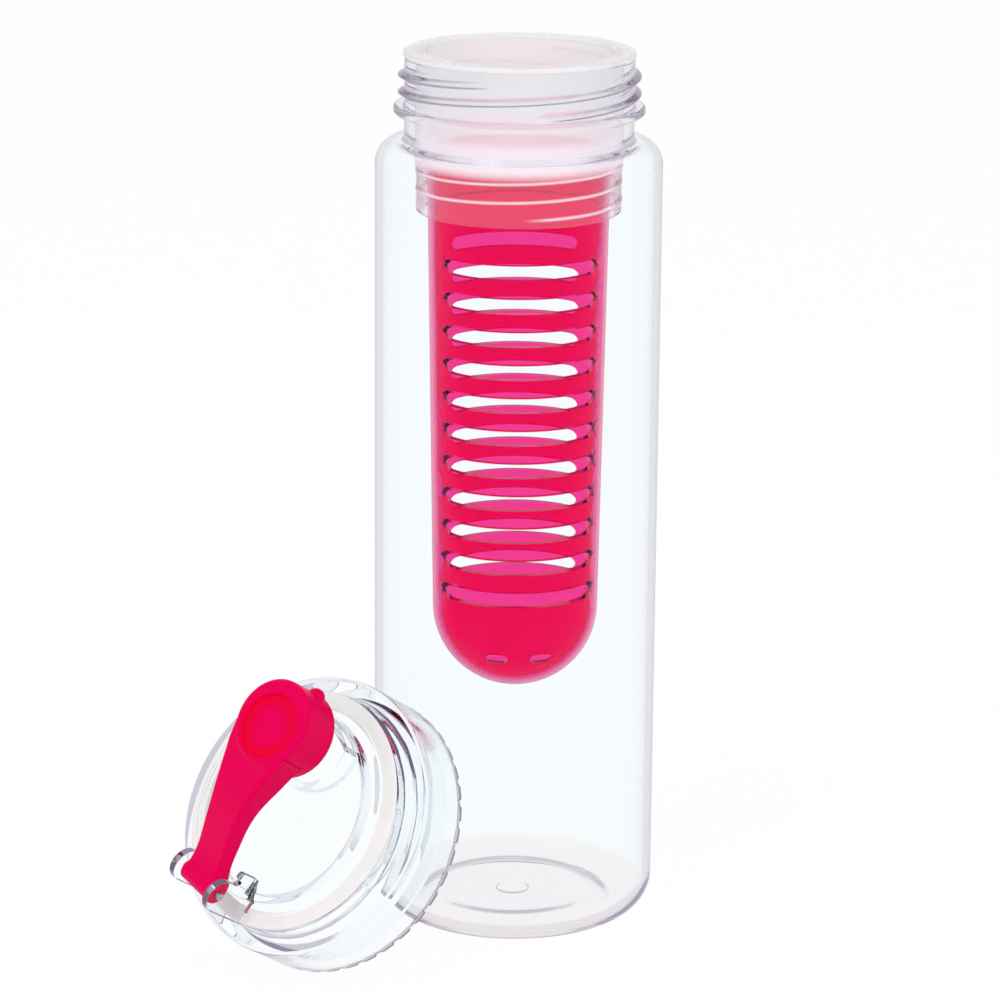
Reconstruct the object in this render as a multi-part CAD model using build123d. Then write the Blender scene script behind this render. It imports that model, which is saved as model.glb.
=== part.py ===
"""Fruit infuser water bottle: clear bottle, infuser hung in its neck, lid leaning beside it.

Sizes are in millimetres. The origin is the centre of the bottle's base on the floor and +Z
runs up the bottle's axis. Every piece is written to parts/NODE.step.
"""

import math
import os

from build123d import *

# Clearances
SEAT_GAP = 0.1
SLIDE_GAP = 0.3
PIN_GAP = 0.06
OVERRUN = 5.0

# Bottle
BODY_R = 36.5
BODY_WALL = 1.7
BASE_THICKNESS = 2.6
HEEL_R = 11.0
PUSH_UP = 2.4
GATE_R = 4.2
GATE_HEIGHT = 0.5
SHOULDER_R = 6.0
SHOULDER_Z = 204.7
SHOULDER_STEP = 7.4
NECK_WALL = 2.7
NECK_RISE = 21.2
NECK_ROOT_FILLET = 0.8
NECK_LIP_FILLET = 0.7
BEAD_OVERHANG = 2.8
BEAD_THICKNESS = 2.2
BEAD_RISE = 7.7

# Infuser collar
FLANGE_THICKNESS = 1.2
FLANGE_OVERHANG = 0.3
COLLAR_WALL = 2.3
COLLAR_LENGTH = 40.7
COLLAR_EDGE = 0.6
SOCKET_DEPTH = 15.5
SOCKET_WALL = 1.5

# Infuser basket
BASKET_LENGTH = 140.8
BASKET_WALL = 1.9
BASKET_LIP = 1.6
BASKET_LIP_REACH = 1.0
BASKET_TAPER = 1.9
SLOT_ROWS = 11
SLOT_HEIGHT = 3.8
SLOT_SIDES = 5.8
BACK_SLOT_SHORT = 3.7
SLOT_TURN = 3.4
FIRST_SLOT_DROP = 27.3
LAST_SLOT_RISE = 6.6
DRAIN_WIDTH = 5.6
DRAIN_HEIGHT = 2.6
DRAIN_SPREAD = 5.7
DRAIN_DROP = 9.9

# Lid shell, in its own frame: rim at zero, top towards +Z, hinge towards -Y
LID_WALL = 1.5
LID_EDGE = 15.4
LID_SHOULDER_R = 8.0
SKIRT_GAP = 1.1
SKIRT_GAP_TOP = 14.9
INNER_SKIRT_START = 4.0
INNER_SKIRT_FLARE = 5.5
BEAD_CLEARANCE = 0.6
BORE_CLEARANCE = 2.1
CEILING = 21.6
STEP_EDGE = 0.2
STEP_RISE = 0.9
DISC_EDGE = 3.1
DISC_RISE = 2.7
DISC_DRAFT = 0.7
DISC_WALL = 2.0
NOTCHES = 40
NOTCH_WIDTH = 1.6
NOTCH_DEPTH = 0.65

# Spout and the boss that carries it
SPOUT_INSET = 7.7
BOSS_R = 12.0
BOSS_RISE = 5.4
BOSS_WALL = 1.8
BOSS_DRAFT = 0.5
SPOUT_CLEARANCE = 2.1
SPOUT_WALL = 1.8
SPOUT_RISE = 13.1

# Gasket under the lid's top
GASKET_WIDTH = 4.2
GASKET_THICKNESS = 1.9

# Hinge
PIN_OVERHANG = 1.2
PIN_RISE = 7.1
PIN_R = 1.0
EAR_R = 4.4
EAR_THICKNESS = 2.1
EAR_INNER = 6.2
EAR_TIP_REACH = 8.0
EAR_TIP_DROP = 3.2
EAR_TIP_R = 1.1
PIN_SHORT = 0.5

# Flip cap
CAP_RISE = 10.4
CAP_HEAD_R = 11.2
CAP_HEAD_DEPTH = 11.8
CAP_WALL = 1.7
CAP_TOP = 1.8
CAP_EDGE = 0.9
CAP_ROUNDING = 1.2
ARM_HALF_WIDTH = 5.5
ARM_WIDTH_SHARES = ((0.24, 0.0), (0.40, 0.06), (0.56, 0.23), (0.72, 0.53), (0.88, 0.82))
ARM_TOP_SHARES = ((0.12, 0.24), (0.26, 0.43), (0.42, 0.65), (0.56, 0.80), (0.72, 0.91))
ARM_FOOT_SHARES = ((0.62, 0.42), (0.44, 0.33), (0.28, 0.16), (0.13, -0.03))
BARREL_R = 2.9
KNOB_R = 2.2
DISH_RIM = 2.6
DISH_DEPTH = 0.7
DISH_STEP = 3.2
DISH_STEP_DEPTH = 0.4
DISH_SHIFT = 1.3
NUB_R = 2.4
NUB_REACH = 1.6
NUB_RISE = 3.2

# Seal inside the cap's head
PLUG_OVERHANG = 0.2
PLUG_CLEARANCE = 1.7
PLUG_STUB_DEPTH = 1.6

# How the lid leans against the bottle, in degrees
LID_TILT = 58.4
LID_HEADING = 230.9
LID_BEARING = 219.4
CAP_TURN = 69.4

# Worked out from the sizes above
HEEL_INNER_R = HEEL_R - BODY_WALL
WALL_TOP = SHOULDER_Z - SHOULDER_R
NECK_R = BODY_R - SHOULDER_STEP
BEAD_R = NECK_R + BEAD_OVERHANG
NECK_BORE = NECK_R - NECK_WALL
NECK_TOP = SHOULDER_Z + NECK_RISE
FLANGE_Z = NECK_TOP + SEAT_GAP
COLLAR_TOP = FLANGE_Z + FLANGE_THICKNESS
COLLAR_R = NECK_BORE - SLIDE_GAP
COLLAR_BORE = COLLAR_R - COLLAR_WALL
COLLAR_FOOT = COLLAR_TOP - COLLAR_LENGTH
SOCKET_TOP = COLLAR_FOOT + SOCKET_DEPTH
SOCKET_R = COLLAR_R - SOCKET_WALL
BASKET_TOP = SOCKET_TOP - SEAT_GAP
BASKET_FOOT = BASKET_TOP - BASKET_LENGTH
BASKET_LIP_R = SOCKET_R - SLIDE_GAP
BASKET_TOP_R = BASKET_LIP_R - BASKET_LIP_REACH
BASKET_DOME_R = BASKET_TOP_R - BASKET_TAPER
SLOT_WIDTH = 2 * BASKET_DOME_R - SLOT_SIDES
SLOT_SPAN = BASKET_LENGTH - FIRST_SLOT_DROP - BASKET_DOME_R - LAST_SLOT_RISE
SLOT_PITCH = SLOT_SPAN / (SLOT_ROWS - 1)
LID_R = BODY_R
STEP_R = LID_R - LID_SHOULDER_R - STEP_EDGE
DISC_R = STEP_R - DISC_EDGE
SPOUT_OFFSET = DISC_R - SPOUT_INSET
PIN_OFFSET = DISC_R + PIN_OVERHANG
LID_TOP = LID_EDGE + LID_SHOULDER_R
STEP_TOP = LID_TOP + STEP_RISE
DISC_TOP = STEP_TOP + DISC_RISE
BORE_R = NECK_R + BORE_CLEARANCE
FLARE_R = BEAD_R + BEAD_CLEARANCE
SKIRT_BORE = LID_R - LID_WALL
INNER_SKIRT_R = SKIRT_BORE - SKIRT_GAP
BOSS_TOP = DISC_TOP + BOSS_RISE
SPOUT_TOP = BOSS_TOP + SPOUT_RISE
PIN_Z = DISC_TOP + PIN_RISE
CAP_FOOT = DISC_TOP + CAP_RISE
CAP_PEAK = CAP_FOOT + CAP_HEAD_DEPTH
ARM_REACH = PIN_OFFSET + SPOUT_OFFSET
EAR_OUTER = EAR_INNER + EAR_THICKNESS
CAP_CUP_R = CAP_HEAD_R - CAP_WALL
DISH_R = CAP_HEAD_R - DISH_RIM
DISH_STEP_R = DISH_R - DISH_STEP
SPOUT_R = CAP_CUP_R - SPOUT_CLEARANCE
PLUG_R = SPOUT_R + PLUG_OVERHANG
PLUG_STUB_R = SPOUT_R - SPOUT_WALL - PLUG_CLEARANCE


def profile(corners):
    """Face in the XZ plane from (radius, height, rounding) corners."""
    face = make_face(Polyline(*[(r, z) for r, z, _ in corners], close=True))
    for r, z, rounding in corners:
        if rounding:
            face = fillet(face.vertices().sort_by_distance((r, z))[0], rounding)
    return Plane.XZ * face


def turned(corners):
    """Solid of revolution about Z from (radius, height, rounding) corners."""
    return revolve(profile(corners), Axis.Z)


def across(face, half_width):
    """A face drawn as (along Y, up Z) made into a solid that spans both sides of the YZ plane."""
    return extrude(Plane.YZ * face, half_width, both=True)


def bottle():
    """One blown bottle: pushed-up base, straight wall, flat shoulder, neck with a transfer bead.

    Returned in two parts, below and above the line where the wall turns into the shoulder.
    """
    foot_r = BODY_R - HEEL_R
    dish_r = foot_r - HEEL_INNER_R / 2
    floor = BASE_THICKNESS + PUSH_UP
    body = turned((
        (0, PUSH_UP, 0),
        (dish_r, PUSH_UP, PUSH_UP),
        (foot_r, 0, BODY_WALL),
        (BODY_R, 0, HEEL_R - BODY_WALL),
        (BODY_R, SHOULDER_Z, SHOULDER_R),
        (NECK_R, SHOULDER_Z, NECK_ROOT_FILLET),
        (NECK_R, NECK_TOP, NECK_LIP_FILLET),
        (NECK_BORE, NECK_TOP, NECK_LIP_FILLET),
        (NECK_BORE, SHOULDER_Z - BODY_WALL, NECK_ROOT_FILLET),
        (BODY_R - BODY_WALL, SHOULDER_Z - BODY_WALL, SHOULDER_R - BODY_WALL),
        (BODY_R - BODY_WALL, BASE_THICKNESS, HEEL_INNER_R - BODY_WALL),
        (foot_r, BASE_THICKNESS, BODY_WALL),
        (dish_r, floor, PUSH_UP),
        (0, floor, 0),
    ))
    bead_z = SHOULDER_Z + BEAD_RISE
    half = BEAD_THICKNESS / 2
    bead = turned((
        (NECK_R - NECK_WALL / 2, bead_z - half, 0),
        (BEAD_R, bead_z - half, half * 0.9),
        (BEAD_R, bead_z + half, half * 0.9),
        (NECK_R - NECK_WALL / 2, bead_z + half, 0),
    ))
    gate = turned((
        (0, PUSH_UP - GATE_HEIGHT, 0),
        (GATE_R, PUSH_UP - GATE_HEIGHT, GATE_HEIGHT / 2),
        (GATE_R, PUSH_UP + GATE_HEIGHT, 0),
        (0, PUSH_UP + GATE_HEIGHT, 0),
    ))
    whole = body + bead + gate
    below = extrude(Circle(BODY_R + OVERRUN), WALL_TOP)
    return whole & below, whole - below


def infuser_collar():
    """Ring that hangs in the neck by its flange and holds the basket in its lower socket."""
    return turned((
        (COLLAR_BORE, COLLAR_TOP, COLLAR_EDGE),
        (NECK_R + FLANGE_OVERHANG, COLLAR_TOP, FLANGE_THICKNESS / 2),
        (NECK_R + FLANGE_OVERHANG, FLANGE_Z, 0),
        (COLLAR_R, FLANGE_Z, 0),
        (COLLAR_R, COLLAR_FOOT, COLLAR_EDGE),
        (SOCKET_R, COLLAR_FOOT, 0),
        (SOCKET_R, SOCKET_TOP, 0),
        (COLLAR_BORE, SOCKET_TOP, 0),
    ))


def infuser_basket():
    """Tapered tube with a round bottom, slotted front and back, with two drains in the front."""
    equator = BASKET_FOOT + BASKET_DOME_R
    outer = (
        Line((BASKET_LIP_R, BASKET_TOP), (BASKET_LIP_R, BASKET_TOP - BASKET_LIP))
        + Line((BASKET_LIP_R, BASKET_TOP - BASKET_LIP), (BASKET_TOP_R, BASKET_TOP - BASKET_LIP))
        + Line((BASKET_TOP_R, BASKET_TOP - BASKET_LIP), (BASKET_DOME_R, equator))
        + CenterArc((0, equator), BASKET_DOME_R, 0, -90)
    )
    inner_r = BASKET_DOME_R - BASKET_WALL
    inner = (
        Line((0, BASKET_FOOT), (0, BASKET_FOOT + BASKET_WALL))
        + CenterArc((0, equator), inner_r, -90, 90)
        + Line((inner_r, equator), (BASKET_TOP_R - BASKET_WALL, BASKET_TOP))
        + Line((BASKET_TOP_R - BASKET_WALL, BASKET_TOP), (BASKET_LIP_R, BASKET_TOP))
    )
    basket = revolve(Plane.XZ * make_face(outer + inner), Axis.Z)
    front = Rot(90, 0, 0) * extrude(SlotOverall(SLOT_WIDTH, SLOT_HEIGHT), BODY_R)
    back = Rot(-90, 0, 0) * extrude(SlotOverall(SLOT_WIDTH - BACK_SLOT_SHORT, SLOT_HEIGHT), BODY_R)
    first = BASKET_TOP - FIRST_SLOT_DROP
    levels = [first - row * SLOT_PITCH for row in range(SLOT_ROWS)]
    cuts = [Pos(0, 0, z) * slot for z in levels for slot in (front, back)]
    drain = Rot(90, 0, 0) * extrude(SlotOverall(DRAIN_WIDTH, DRAIN_HEIGHT), BODY_R)
    cuts += [Pos(side * DRAIN_SPREAD, 0, equator - DRAIN_DROP) * drain for side in (-1, 1)]
    return Rot(0, 0, SLOT_TURN) * (basket - cuts)


def lid():
    """Clear screw lid: outer skirt, threaded inner skirt, round shoulder, disc, boss, spout, ears.

    Returned in two parts: the shell with its ears, and the spout with its boss above the disc.
    """
    flare_z = INNER_SKIRT_START + INNER_SKIRT_FLARE
    shell = turned((
        (0, DISC_TOP - DISC_WALL, 0),
        (DISC_R - DISC_WALL, DISC_TOP - DISC_WALL, 0),
        (DISC_R - DISC_WALL, CEILING, 0),
        (BORE_R, CEILING, 0),
        (BORE_R, flare_z, 0),
        (FLARE_R, flare_z - FLARE_R + BORE_R, 0),
        (FLARE_R, INNER_SKIRT_START, 0),
        (INNER_SKIRT_R, INNER_SKIRT_START, 0),
        (INNER_SKIRT_R, SKIRT_GAP_TOP, 0),
        (SKIRT_BORE, SKIRT_GAP_TOP, 0),
        (SKIRT_BORE, 0, 0),
        (LID_R, 0, 0),
        (LID_R, LID_TOP, LID_SHOULDER_R),
        (STEP_R, LID_TOP, 0),
        (STEP_R, STEP_TOP, STEP_RISE / 3),
        (DISC_R + DISC_DRAFT, STEP_TOP, DISC_DRAFT),
        (DISC_R, DISC_TOP, DISC_DRAFT),
        (0, DISC_TOP, 0),
    ))
    whole = shell + spout_boss() - spout_hollow() + hinge_ears() - pin_bore(PIN_R) - rim_notches()
    around = Pos(0, SPOUT_OFFSET, DISC_TOP) * extrude(Circle(BOSS_R + BOSS_DRAFT), SPOUT_TOP)
    return whole - around, whole & around


def spout_boss():
    """Round boss, cut off at the disc's edge, and the drinking spout on it."""
    place = Pos(0, SPOUT_OFFSET, 0)
    boss = turned((
        (0, CEILING, 0),
        (BOSS_R + BOSS_DRAFT, CEILING, 0),
        (BOSS_R, BOSS_TOP, BOSS_WALL / 3),
        (0, BOSS_TOP, 0),
    ))
    edge = extrude(Pos(0, 0, CEILING) * Circle(DISC_R), BOSS_TOP)
    spout = turned((
        (0, BOSS_TOP - BOSS_WALL, 0),
        (SPOUT_R, BOSS_TOP - BOSS_WALL, 0),
        (SPOUT_R, SPOUT_TOP, SPOUT_WALL / 3),
        (0, SPOUT_TOP, 0),
    ))
    return (place * boss & edge) + place * spout


def spout_hollow():
    """Space under the boss and the bore of the spout, open to the inside of the lid."""
    place = Pos(0, SPOUT_OFFSET, 0)
    under = turned((
        (0, CEILING - OVERRUN, 0),
        (BOSS_R + BOSS_DRAFT - BOSS_WALL, CEILING - OVERRUN, 0),
        (BOSS_R - BOSS_WALL, BOSS_TOP - BOSS_WALL, 0),
        (0, BOSS_TOP - BOSS_WALL, 0),
    ))
    edge = extrude(Pos(0, 0, CEILING - OVERRUN) * Circle(DISC_R - DISC_WALL), BOSS_TOP)
    bore = Pos(0, 0, CEILING) * extrude(Circle(SPOUT_R - SPOUT_WALL), SPOUT_TOP)
    return (place * under & edge) + place * bore


def hinge_ears():
    """Two upright plates: straight outer edge, round head about the pin, saddle and small tip."""
    outer_y = -PIN_OFFSET - EAR_R
    tip_y = -PIN_OFFSET + EAR_TIP_REACH
    tip_z = PIN_Z - EAR_TIP_DROP
    head = Pos(-PIN_OFFSET, PIN_Z) * Circle(EAR_R)
    web = make_face(Polyline(
        (outer_y, PIN_Z),
        (outer_y, CEILING),
        (tip_y, CEILING),
        (tip_y, tip_z),
        (-PIN_OFFSET + EAR_R, tip_z),
        (-PIN_OFFSET, PIN_Z),
        close=True,
    ))
    tip = Pos(tip_y - EAR_TIP_R, tip_z) * Circle(EAR_TIP_R)
    plate = head + web + tip
    both = across(plate, EAR_OUTER) - across(plate, EAR_INNER)
    inside = turned((
        (0, CEILING - OVERRUN, 0),
        (DISC_R - DISC_WALL, CEILING - OVERRUN, 0),
        (DISC_R - DISC_WALL, DISC_TOP - DISC_WALL, 0),
        (0, DISC_TOP - DISC_WALL, 0),
    ))
    return both - inside


def pin_bore(radius):
    """Cylinder along the hinge's line, longer than the hinge is wide."""
    bore = Pos(-PIN_OFFSET, PIN_Z) * Circle(radius)
    return across(bore, EAR_OUTER + OVERRUN)


def rim_notches():
    """Small notches all round the outer skirt's rim."""
    notch = Pos(LID_R, 0, 0) * Box(OVERRUN, NOTCH_WIDTH, NOTCH_DEPTH * 2)
    return [Rot(0, 0, 360 * i / NOTCHES) * notch for i in range(NOTCHES)]


def lid_gasket():
    """Flat silicone ring that fills the corner between the lid's top and its inner skirt."""
    outer = BORE_R - SEAT_GAP
    foot = CEILING - GASKET_THICKNESS
    return turned((
        (outer - GASKET_WIDTH, CEILING, 0),
        (outer, CEILING, 0),
        (outer, foot, GASKET_THICKNESS / 4),
        (outer - GASKET_WIDTH, foot, GASKET_THICKNESS / 4),
    ))


def hinge_pin():
    """Steel pin through both ears and the cap's barrel."""
    return across(Pos(-PIN_OFFSET, PIN_Z) * Circle(PIN_R), EAR_OUTER - PIN_SHORT)


def arm_outline(inset):
    """Top view of the arm, which widens from its straight tail to the head, drawn in (X, Y)."""
    half = ARM_HALF_WIDTH - inset
    spread = CAP_HEAD_R - ARM_HALF_WIDTH
    tail = -PIN_OFFSET - BARREL_R
    side = [(half + spread * w, -PIN_OFFSET + ARM_REACH * t) for t, w in ARM_WIDTH_SHARES]
    right = Spline((half, tail), *side, tangents=((0, 1), (1, 2)))
    left = mirror(right, Plane.YZ)
    start, end = right @ 0, right @ 1
    return make_face(right + left + Line(start, (-start.X, start.Y)) + Line(end, (-end.X, end.Y)))


def arm_side(drop):
    """Side view of the cap's arm, drawn in (Y, Z), its top lowered by drop."""
    rise = CAP_PEAK - PIN_Z
    top = [(-PIN_OFFSET, PIN_Z + BARREL_R - drop)]
    top += [(-PIN_OFFSET + ARM_REACH * t, PIN_Z + rise * h - drop) for t, h in ARM_TOP_SHARES]
    top += [(SPOUT_OFFSET, CAP_PEAK - drop)]
    foot = [(SPOUT_OFFSET, CAP_FOOT + rise * ARM_FOOT_SHARES[0][1] / 2)]
    foot += [(-PIN_OFFSET + ARM_REACH * t, PIN_Z + rise * h) for t, h in ARM_FOOT_SHARES]
    foot += [(-PIN_OFFSET, PIN_Z - BARREL_R)]
    return top, foot


def cap_arm():
    """Arched arm with deep sides and two rounded upper edges."""
    top, foot = arm_side(0)
    side = make_face(
        Spline(*top, tangents=((1, 0), (1, 0)))
        + Line(top[-1], foot[0])
        + Spline(*foot, tangents=((-1, 0), (-1, 0)))
        + Line(foot[-1], top[0])
    )
    arm = across(side, CAP_HEAD_R + OVERRUN) & extrude(arm_outline(0), CAP_PEAK + OVERRUN)
    rims = [
        e for e in arm.edges()
        if e.length > ARM_REACH * 0.9 and abs(e.center().X) > ARM_HALF_WIDTH
    ]
    return fillet(ShapeList(rims).sort_by(Axis.Z)[-2:], CAP_ROUNDING)


def flip_cap():
    """One moulded cap: cup-shaped head over the spout, arm, barrel with knobs, and thumb nub."""
    head = Pos(0, SPOUT_OFFSET, 0) * turned((
        (0, CAP_FOOT, 0),
        (CAP_HEAD_R, CAP_FOOT, CAP_EDGE / 2),
        (CAP_HEAD_R, CAP_PEAK, CAP_ROUNDING),
        (0, CAP_PEAK, 0),
    ))
    barrel = across(Pos(-PIN_OFFSET, PIN_Z) * Circle(BARREL_R), ARM_HALF_WIDTH)
    knobs = across(Pos(-PIN_OFFSET, PIN_Z) * Circle(KNOB_R), EAR_INNER - SLIDE_GAP)
    cap = cap_arm() + [head, barrel, knobs]
    cap = cap - cap_hollow() - dish() + nub()
    return cap - pin_bore(PIN_R + PIN_GAP)


def cap_hollow():
    """Room for the spout in the head, and the channel under the arm."""
    place = Pos(0, SPOUT_OFFSET, 0)
    cup = place * turned((
        (0, CAP_FOOT - OVERRUN, 0),
        (CAP_CUP_R, CAP_FOOT - OVERRUN, 0),
        (CAP_CUP_R, CAP_PEAK - CAP_TOP - DISH_DEPTH, CAP_EDGE),
        (0, CAP_PEAK - CAP_TOP - DISH_DEPTH, 0),
    ))
    low = PIN_Z - BARREL_R - OVERRUN
    clear_y = -PIN_OFFSET + BARREL_R * 2
    end_y = SPOUT_OFFSET - CAP_CUP_R
    roof = [p for p in arm_side(CAP_TOP)[0] if clear_y < p[0] < end_y]
    side = make_face(Polyline((roof[0][0], low), *roof, (roof[-1][0], low), close=True))
    channel = across(side, CAP_HEAD_R) & extrude(arm_outline(CAP_WALL), CAP_PEAK)
    return [cup, channel]


def dish():
    """Shallow round dish in the head's top, with a second step inside it."""
    dish_floor = CAP_PEAK - DISH_DEPTH
    return Pos(0, SPOUT_OFFSET - DISH_SHIFT, 0) * turned((
        (0, dish_floor - DISH_STEP_DEPTH, 0),
        (DISH_STEP_R, dish_floor - DISH_STEP_DEPTH, DISH_STEP_DEPTH / 2),
        (DISH_STEP_R + DISH_STEP_DEPTH, dish_floor, 0),
        (DISH_R - DISH_DEPTH, dish_floor, 0),
        (DISH_R, CAP_PEAK + GATE_HEIGHT, 0),
        (0, CAP_PEAK + GATE_HEIGHT, 0),
    ))


def nub():
    """Thumb nub low on the front of the head."""
    reach = CAP_HEAD_R + NUB_REACH - NUB_R
    z = CAP_FOOT + NUB_RISE
    ball = Pos(0, SPOUT_OFFSET + reach, z) * Sphere(NUB_R)
    return ball - Pos(0, SPOUT_OFFSET, 0) * Cylinder(CAP_HEAD_R - CAP_WALL / 2, 2 * CAP_PEAK)


def spout_plug():
    """Soft seal in the roof of the head, with a stub that enters the spout."""
    roof = CAP_PEAK - CAP_TOP - DISH_DEPTH
    seat = SPOUT_TOP + SLIDE_GAP
    return Pos(0, SPOUT_OFFSET, 0) * turned((
        (0, roof, 0),
        (PLUG_R, roof, 0),
        (PLUG_R, seat, 0),
        (PLUG_STUB_R, seat, 0),
        (PLUG_STUB_R - PLUG_STUB_DEPTH / 2, seat - PLUG_STUB_DEPTH, 0),
        (0, seat - PLUG_STUB_DEPTH, 0),
    ))


def lean_distance(across_dir, up_dir, bearing):
    """Distance of the rim's centre from the bottle's axis at which the rim just clears the wall."""
    goal = BODY_R + SLIDE_GAP
    near, far = 0, 4 * BODY_R
    turns = [math.radians(step) for step in range(360)]
    for _ in range(40):
        middle = (near + far) / 2
        centre = Vector(bearing.X * middle, bearing.Y * middle, 0)
        rim = [
            centre + across_dir * (LID_R * math.cos(t)) + up_dir * (LID_R * math.sin(t))
            for t in turns
        ]
        if min(math.hypot(p.X, p.Y) for p in rim) < goal:
            near = middle
        else:
            far = middle
    return far


def lid_plane():
    """Plane of the leaning lid's rim: Z is the lid's axis, Y runs from the hinge to the spout."""
    tilt, heading = math.radians(LID_TILT), math.radians(LID_HEADING)
    side = math.sin(tilt)
    axis = Vector(side * math.cos(heading), side * math.sin(heading), math.cos(tilt))
    across_dir = Vector(-math.sin(heading), math.cos(heading), 0) * -1
    up_dir = axis.cross(across_dir)
    if up_dir.Z < 0:
        across_dir, up_dir = across_dir * -1, up_dir * -1
    turn = math.radians(CAP_TURN)
    x_dir = across_dir * math.sin(turn) - up_dir * math.cos(turn)
    bearing = Vector(math.cos(math.radians(LID_BEARING)), math.sin(math.radians(LID_BEARING)), 0)
    distance = lean_distance(across_dir, up_dir, bearing)
    origin = bearing * distance + Vector(0, 0, LID_R * side)
    return Plane(origin=origin, x_dir=x_dir, z_dir=axis)


def main():
    os.makedirs("parts", exist_ok=True)
    place = lid_plane()
    print("lid origin", place.origin, "x", place.x_dir, "z", place.z_dir)
    body, neck = bottle()
    shell, spout = lid()
    pieces = {
        "bottle_body": body,
        "bottle_neck": neck,
        "infuser_collar": infuser_collar(),
        "infuser_basket": infuser_basket(),
        "lid_shell": place * shell,
        "lid_spout": place * spout,
        "lid_gasket": place * lid_gasket(),
        "hinge_pin": place * hinge_pin(),
        "flip_cap": place * flip_cap(),
        "spout_plug": place * spout_plug(),
    }
    for node, shape in pieces.items():
        print(node, len(shape.solids()), round(shape.volume), shape.is_valid)
        export_step(shape, f"parts/{node}.step")


if __name__ == "__main__":
    main()
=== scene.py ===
"""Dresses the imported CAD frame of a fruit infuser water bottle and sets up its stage.

Laid out as a Blender add-on and run as a script. Lengths in this file are millimetres until
mesh_piece() writes a mesh, and the frame itself is in metres. An outline is a row of corners,
each with its radius, its height, its rounding and the longest span of the side after it.
"""

import math

import bmesh
import bpy
import numpy as np
from bpy.props import FloatProperty, FloatVectorProperty, PointerProperty
from bpy.types import Node, NodeSocket, Operator, Panel, PropertyGroup
from mathutils import Matrix, Vector


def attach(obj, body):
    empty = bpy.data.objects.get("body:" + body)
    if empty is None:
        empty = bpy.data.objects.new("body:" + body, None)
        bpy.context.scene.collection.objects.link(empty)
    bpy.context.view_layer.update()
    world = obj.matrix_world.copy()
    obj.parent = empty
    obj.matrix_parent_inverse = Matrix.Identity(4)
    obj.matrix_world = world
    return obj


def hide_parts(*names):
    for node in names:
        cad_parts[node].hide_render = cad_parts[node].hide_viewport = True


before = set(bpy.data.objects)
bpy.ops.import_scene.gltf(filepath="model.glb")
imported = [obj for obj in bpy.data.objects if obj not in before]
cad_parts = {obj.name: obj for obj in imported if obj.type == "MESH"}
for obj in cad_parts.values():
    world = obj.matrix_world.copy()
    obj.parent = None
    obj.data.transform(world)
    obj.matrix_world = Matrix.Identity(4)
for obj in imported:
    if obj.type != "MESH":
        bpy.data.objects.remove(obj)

bl_info = {
    "name": "Fruit infuser bottle",
    "version": (1, 0, 0),
    "blender": (4, 5, 0),
    "location": "3D View > Sidebar > Infuser",
    "description": "Builds the visible pieces of a fruit infuser bottle on its CAD frame",
    "category": "Object",
}

MM = 0.001

# Bottle, as in the CAD model
BODY_R = 36.5
BODY_WALL = 1.7
INNER_R = BODY_R - BODY_WALL
SHOULDER_Z = 204.7
SHOULDER_UNDERSIDE = SHOULDER_Z - BODY_WALL
NECK_R = 29.1
NECK_BORE = 26.4
NECK_TOP = 225.9
BEAD_R = 31.9
BEAD_FOOT = 211.3
BEAD_TOP = 213.5

# The bottle's base: pushed up in the middle, round the low mark of the moulding's gate
FOOT_R = 25.5
RISE_R = 20.85
PUSH_UP = 2.4
BASE_THICKNESS = 2.6
BASE_TOP = PUSH_UP + BASE_THICKNESS
GATE_R = 4.2
GATE_Z = 1.9

BOTTLE = (
    (0, GATE_Z, 0, 2), (GATE_R, GATE_Z, 0.2, 1), (GATE_R, PUSH_UP, 0.15, 2),
    (RISE_R, PUSH_UP, 6, 1), (FOOT_R, 0, 4, 1), (BODY_R, 0, 9.3, 6), (BODY_R, SHOULDER_Z, 6, 1),
    (NECK_R, SHOULDER_Z, 0.8, 1), (NECK_R, BEAD_FOOT, 0.3, 1), (BEAD_R, BEAD_FOOT, 0.95, 1),
    (BEAD_R, BEAD_TOP, 0.95, 1), (NECK_R, BEAD_TOP, 0.3, 0.3), (NECK_R, NECK_TOP, 0.7, 0.5),
    (NECK_BORE, NECK_TOP, 0.7, 3), (NECK_BORE, SHOULDER_UNDERSIDE, 0.8, 1),
    (INNER_R, SHOULDER_UNDERSIDE, 4.3, 6), (INNER_R, BASE_THICKNESS, 7.6, 1),
    (FOOT_R, BASE_THICKNESS, 4, 1), (RISE_R, BASE_TOP, 6, 3), (0, BASE_TOP, 0, 3),
)
BOTTLE_SEGMENTS = 288

# Threads of the neck and of the lid: two starts, each one full turn with tapered ends
THREAD_LEAD = 8.8
THREAD_TAPER = 28.0
NECK_THREAD_FOOT = 214.4
NECK_THREAD_STARTS = (-90, 90)
LID_THREAD_FOOT = 11.0
LID_THREAD_STARTS = (0, 180)
LID_THREAD_WIDTH = 2.6
LID_THREAD_HEIGHT = 1.3

# Collar, as in the CAD model
COLLAR_R = 26.1
COLLAR_BORE = 23.8
COLLAR_TOP = 227.2
COLLAR_FOOT = 186.5
FLANGE_R = 29.4
FLANGE_Z = 226.0
SOCKET_R = 24.6
SOCKET_TOP = 202.0

COLLAR = (
    (COLLAR_BORE, COLLAR_TOP, 0.6, 1), (FLANGE_R, COLLAR_TOP, 0.55, 1),
    (FLANGE_R, FLANGE_Z, 0.1, 1), (COLLAR_R, FLANGE_Z, 0.1, 0.25),
    (COLLAR_R, COLLAR_FOOT, 0.6, 1), (SOCKET_R, COLLAR_FOOT, 0.1, 1),
    (SOCKET_R, SOCKET_TOP, 0.1, 1), (COLLAR_BORE, SOCKET_TOP, 0.1, 3),
)
COLLAR_SEGMENTS = 192

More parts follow.
